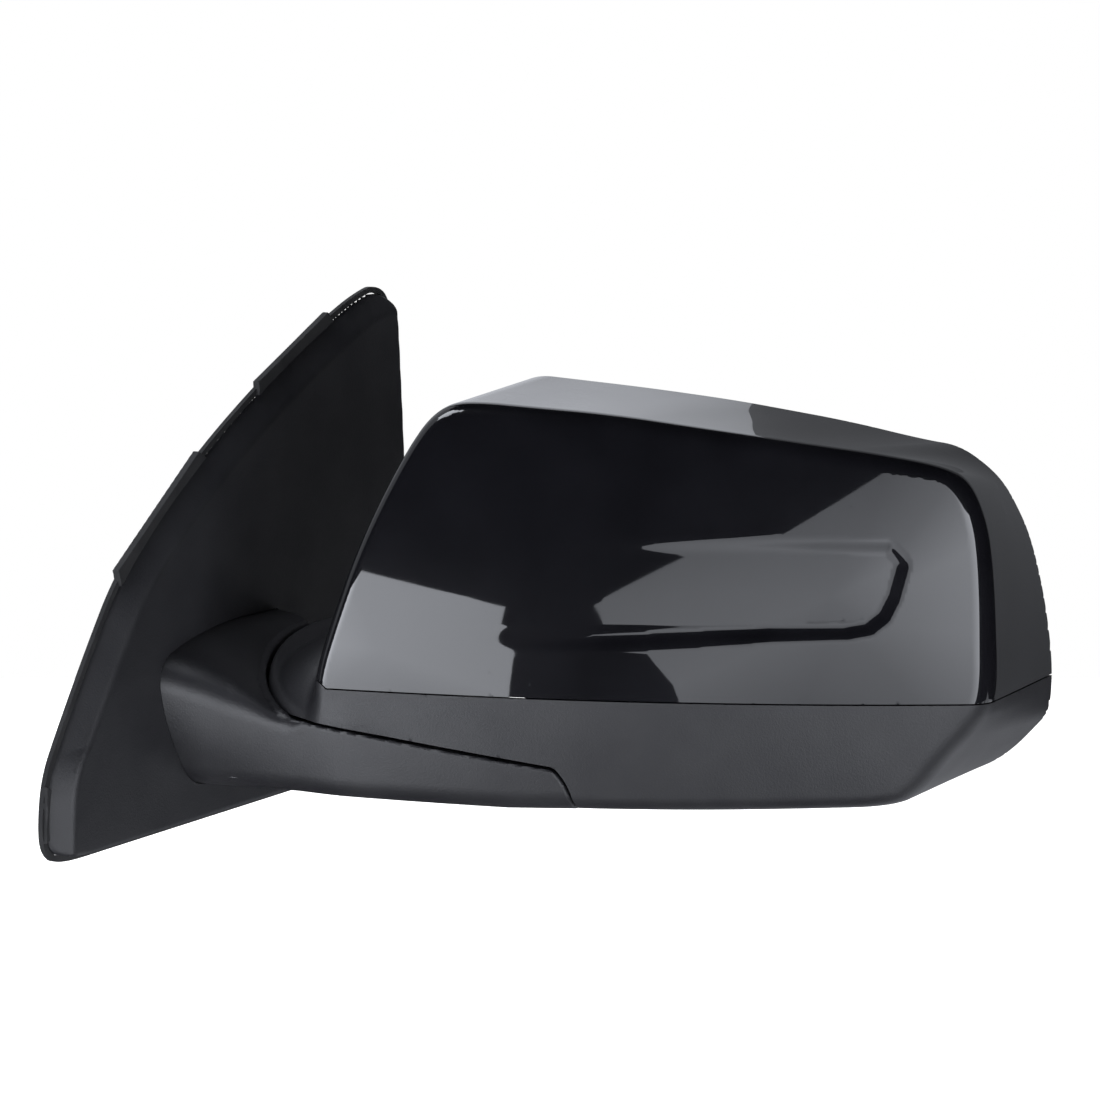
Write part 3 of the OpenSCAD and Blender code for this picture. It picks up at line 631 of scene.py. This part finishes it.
def finish(name, dark, light, rough, grain, depth, tone_scale=60, **numbers):
    """A moulded, cast or plated surface: grain is lumps per metre, depth their height in metres."""
    material = smooth_finish(name, dark, light, rough, tone_scale, **numbers)
    tree, shader = nodes_of(material)
    lumps = noise(tree, grain, 2)
    tree.links.new(bump(tree, lumps, depth), shader.inputs["Normal"])
    return material


def gloss_black():
    """Painted cap: deep black under a clear coat, with a trace of orange peel and dust in the coat."""
    material = finish("painted_cap", (0.0035, 0.0035, 0.0045), (0.006, 0.006, 0.0075), (0.25, 0.32),
                      900, 2e-6, 30, Coat_Weight=1.0, Coat_IOR=1.6, IOR=1.12)
    tree, shader = nodes_of(material)
    peel = noise(tree, 260, 1)
    tree.links.new(bump(tree, peel, 1.2e-6), shader.inputs["Coat Normal"])
    specks = noise(tree, 520, 0)
    haze = noise(tree, 18, 5, 0.65)
    veil = ranged(tree, haze, 0.012, 0.05, 0.4, 0.75)
    dust = ranged(tree, specks, 0, 0.12, 0.85, 0.88)
    add = tree.nodes.new("ShaderNodeMath")
    add.operation = "ADD"
    tree.links.new(veil, add.inputs[0])
    tree.links.new(dust, add.inputs[1])
    tree.links.new(add.outputs[0], shader.inputs["Coat Roughness"])
    return material


def grained_plastic(name, dark, light, rough):
    """Moulded black plastic with a fine spark-eroded grain."""
    material = smooth_finish(name, dark, light, rough, 45, IOR=1.52)
    tree, shader = nodes_of(material)
    fine = bump(tree, noise(tree, 4200, 2), 1.2e-5)
    coarse = bump(tree, noise(tree, 1300, 3, 0.6), 9.0e-5, fine)
    tree.links.new(coarse, shader.inputs["Normal"])
    return material


def brushed(name, dark, light, rough, along):
    """Turned or drawn metal, with its fine lines across one axis."""
    material = smooth_finish(name, dark, light, rough, 120, Metallic=1.0)
    tree, shader = nodes_of(material)
    place = tree.nodes.new("ShaderNodeTexCoord")
    stretch = tree.nodes.new("ShaderNodeMapping")
    stretch.inputs["Scale"].default_value = along
    lines = tree.nodes.new("ShaderNodeTexNoise")
    lines.inputs["Scale"].default_value = 700
    tree.links.new(place.outputs["Object"], stretch.inputs["Vector"])
    tree.links.new(stretch.outputs["Vector"], lines.inputs["Vector"])
    tree.links.new(bump(tree, lines.outputs["Fac"], 8e-6), shader.inputs["Normal"])
    return material


def mirror_silver():
    """Silvered glass: a clear front over the bright back coating, with the faintest unevenness."""
    return finish("mirror", (0.78, 0.80, 0.82), (0.82, 0.84, 0.86), (0.004, 0.02), 60, 4e-7, 8,
                  Metallic=1.0, Coat_Weight=0.4)


def heater_foil():
    """Orange film with printed tracks."""
    material = finish("heater", (0.35, 0.12, 0.02), (0.5, 0.2, 0.04), (0.35, 0.5), 400, 1e-5)
    tree, shader = nodes_of(material)
    place = tree.nodes.new("ShaderNodeTexCoord")
    wave = tree.nodes.new("ShaderNodeTexWave")
    wave.bands_direction = "Z"
    wave.inputs["Scale"].default_value = 40
    tree.links.new(place.outputs["Object"], wave.inputs["Vector"])
    colour = two_tone(tree, wave.outputs["Fac"], (0.45, 0.17, 0.03), (0.06, 0.05, 0.05), 0.62, 0.68)
    tree.links.new(colour, shader.inputs["Base Color"])
    return material


MATERIALS = {
    "painted_cap": gloss_black(),
    "textured_plastic": grained_plastic("textured_plastic", (0.010, 0.010, 0.012),
                                        (0.016, 0.016, 0.018), (0.38, 0.47)),
    "inner_plastic": grained_plastic("inner_plastic", (0.020, 0.020, 0.022),
                                     (0.032, 0.032, 0.035), (0.38, 0.5)),
    "natural_plastic": finish("natural_plastic", (0.62, 0.58, 0.48), (0.72, 0.69, 0.6), (0.35, 0.5),
                              700, 8e-6, 50, Subsurface_Weight=0.1),
    "seal_rubber": finish("seal_rubber", (0.010, 0.010, 0.011), (0.018, 0.018, 0.019), (0.55, 0.7),
                          900, 2.5e-5, 80),
    "die_casting": finish("die_casting", (0.36, 0.37, 0.38), (0.52, 0.53, 0.54), (0.38, 0.6),
                          500, 6e-5, 45, Metallic=0.9),
    "bright_steel": brushed("bright_steel", (0.50, 0.50, 0.48), (0.66, 0.66, 0.64), (0.2, 0.34),
                            (6, 1, 1)),
    "dark_steel": finish("dark_steel", (0.03, 0.03, 0.033), (0.07, 0.07, 0.075), (0.3, 0.45),
                         800, 1.2e-5, 90, Metallic=0.8),
    "brass": brushed("brass", (0.56, 0.40, 0.15), (0.70, 0.53, 0.24), (0.22, 0.36), (1, 6, 1)),
    "glass_holder": grained_plastic("glass_holder", (0.014, 0.014, 0.015), (0.022, 0.022, 0.024),
                                    (0.4, 0.52)),
    "heater": heater_foil(),
    "mirror": mirror_silver(),
}

SLOT_NODES = {
    "inner_plastic": ["arm_bottom_plate", "head_frame", "actuator_housing", "actuator_cover"],
    "natural_plastic": ["pivot_bush", "drive_gear_vertical", "drive_gear_horizontal",
                        "push_rod_vertical", "push_rod_horizontal", "tilt_cross"],
    "seal_rubber": ["harness_grommet"],
    "die_casting": ["mounting_bracket"],
    "bright_steel": ["mounting_studs", "pivot_post", "spring_retainer", "motor_vertical",
                     "motor_horizontal", "actuator_screws"],
    "dark_steel": ["detent_ring_lower", "detent_ring_upper", "pivot_spring", "bracket_screws",
                   "bezel_screws"],
    "brass": ["thrust_washer", "worm_vertical", "worm_horizontal"],
    "heater": ["heater_pad"],
}


def dress(piece, slot):
    piece.data.materials.clear()
    piece.data.materials.append(MATERIALS[slot])


for slot, names in SLOT_NODES.items():
    for name in names:
        dress(frame["nodes"][name], slot)

# ---- the pieces that stand for CAD nodes ----

# name, field, lowest and highest corner of its space, grid step, node, body, slot
HEAD_PIECES = [
    ("cap_shell", cap, (-24, -50, 8), (276, 40, 131), 1.0, "skull_cap", "head", "painted_cap"),
    ("lower_shell", lower_cover, (-42, -50, -34), (278, 40, 44), 1.0, "lower_cover", "head",
     "textured_plastic"),
    ("arm_shell", arm, (-82, -50, -34), (100, 74, 44), 1.0, "arm_cover", "base", "textured_plastic"),
    ("bezel_shell", bezel, (8, 13, -34), (278, 40, 131), 1.0, "rear_bezel", "head", "inner_plastic"),
    ("holder_tray", holder, (30, 17, -26), (262, 25, 120), 0.9, "glass_holder", "glass",
     "glass_holder"),
    ("glass_pane", glass, (30, 20, -26), (262, 25, 120), 0.9, "mirror_glass", "glass", "mirror"),
]
ROW_PIECES = [
    ("sail_shell", sail, (-1, -148, -70), (10, 98, 134), 0.9, "sail_cover", "base",
     "textured_plastic"),
    ("seal_frame", seal, (-2, -152, -72), (6, 100, 136), 0.7, "edge_seal", "base", "seal_rubber"),
]

for pieces, in_head in ((HEAD_PIECES, True), (ROW_PIECES, False)):
    for name, field, lo, hi, step, node, body, slot in pieces:
        piece = add_shell(name, field, lo, hi, step, in_head)
        dress(piece, slot)
        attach(piece, body)
        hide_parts(node)

# ---- studio, in metres ----

FLOOR_Z = -0.3
HEAD_MIDDLE = Vector((0.14, 0.03, 0.02))
SIGHT = -towards_camera()
SIGHT.z = 0
SIGHT.normalize()
ACROSS = Vector((SIGHT.y, -SIGHT.x, 0))


def add_floor(half_width, ahead, behind):
    """Pale paper under the head, square to the camera's line of sight."""
    mesh = bpy.data.meshes.new("floor")
    corners = [(-half_width, -ahead), (half_width, -ahead), (half_width, behind), (-half_width, behind)]
    places = [HEAD_MIDDLE + ACROSS * a + SIGHT * b for a, b in corners]
    mesh.from_pydata([(p.x, p.y, FLOOR_Z) for p in places], [], [(0, 1, 2, 3)])
    floor = bpy.data.objects.new("floor", mesh)
    bpy.context.scene.collection.objects.link(floor)
    mesh.materials.append(finish("floor_paper", (0.84,) * 3, (0.88,) * 3, (0.8, 0.9), 200, 1e-6,
                                 Emission_Strength=0.85))
    floor.visible_glossy = floor.visible_shadow = False


def area_light(name, size, power, location, target):
    data = bpy.data.lights.new(name, "AREA")
    data.shape = "RECTANGLE"
    data.size, data.size_y, data.energy = size[0], size[1], power
    light = bpy.data.objects.new(name, data)
    bpy.context.scene.collection.objects.link(light)
    light.location = location
    aim = Vector(target) - Vector(location)
    light.rotation_euler = aim.to_track_quat("-Z", "Y").to_euler()
    return light


def set_world(strength):
    """White surroundings that the camera sees and that nothing reflects or is lit by."""
    world = bpy.data.worlds.new("studio")
    bpy.context.scene.world = world
    world.use_nodes = True
    back = world.node_tree.nodes["Background"]
    back.inputs["Color"].default_value = (1, 1, 1, 1)
    back.inputs["Strength"].default_value = strength
    world.cycles_visibility.glossy = world.cycles_visibility.diffuse = False


def around(azimuth, elevation, distance):
    """A place seen from the head: azimuth to the right of the camera, elevation and distance."""
    a, e = math.radians(azimuth), math.radians(elevation)
    level = -SIGHT * math.cos(a) + ACROSS * math.sin(a)
    return HEAD_MIDDLE + (level * math.cos(e) + Vector((0, 0, math.sin(e)))) * distance


def card(name, distance, corners):
    """Glowing card round the head: corners are (azimuth, elevation, glow), the first one its middle."""
    mesh = bpy.data.meshes.new(name)
    last = len(corners) - 1
    fan = [(0, i, i % last + 1) for i in range(1, last + 1)]
    mesh.from_pydata([around(a, e, distance) for a, e, glow in corners], [], fan)
    glow = mesh.attributes.new("glow", "FLOAT", "POINT")
    for i, corner in enumerate(corners):
        glow.data[i].value = corner[2]
    mesh.materials.append(card_glow())
    panel = bpy.data.objects.new(name, mesh)
    bpy.context.scene.collection.objects.link(panel)
    panel.visible_camera = panel.visible_shadow = False


def card_glow():
    """Light whose strength is set corner by corner."""
    material = bpy.data.materials.new("card_glow")
    material.use_nodes = True
    tree = material.node_tree
    tree.nodes.clear()
    strength = tree.nodes.new("ShaderNodeAttribute")
    strength.attribute_name = "glow"
    emit = tree.nodes.new("ShaderNodeEmission")
    out = tree.nodes.new("ShaderNodeOutputMaterial")
    emit.inputs["Color"].default_value = (0.90, 0.93, 1, 1)
    tree.links.new(strength.outputs["Fac"], emit.inputs["Strength"])
    tree.links.new(emit.outputs["Emission"], out.inputs["Surface"])
    return material


add_floor(4, 4, 1.6)
card("left_card", 1.45, [(-23, -14, 4.6), (-25, 0, 4.8), (-9.5, -6.5, 4.0), (-11, -22, 4.0),
                         (-8, -48, 0.4), (-60, -48, 1.6), (-42, -10, 9), (-42, 2, 9)])
card("high_left_card", 1.45, [(-55, 58, 8), (-34, 48, 5), (-34, 72, 6), (-80, 72, 8), (-75, 44, 8)])
card("right_card", 1.45, [(20, -8, 2.1), (0, -9, 1.8), (25, 16, 1.3), (31, 14, 2.0), (43, 12, 5),
                          (53, 12, 6), (53, -15, 5), (55, -48, 1.2), (14, -48, 0.3), (5, -20, 2.1)])
card("end_card", 1.5, [(145, 8, 0.13), (131, -17, 0.13), (131, 40, 0.1), (164, 40, 0.12),
                       (178, -17, 0.12)])
card("low_end_card", 1.45, [(135, -38, 0.8), (90, -19, 0.8), (175, -19, 0.4), (175, -60, 0.5),
                            (90, -60, 0.6)])
card("rear_card", 1.6, [(240, 20, 0.7), (205, -20, 0.6), (205, 60, 0.7), (300, 60, 0.6),
                        (300, -20, 0.5)])
card("back_card", 1.45, [(176, 18, 0.75), (200, -2, 0.85), (200, 45, 0.85), (172, 45, 0.7),
                         (162, 20, 0.25), (166, -2, 0.25)])
wash = area_light("rear_wash", (3.0, 1.2), 25, around(180, 42, 1.45), around(180, -30, 1.1))
wash.visible_glossy = False
set_world(1.0)
bpy.context.scene.view_settings.view_transform = "Standard"
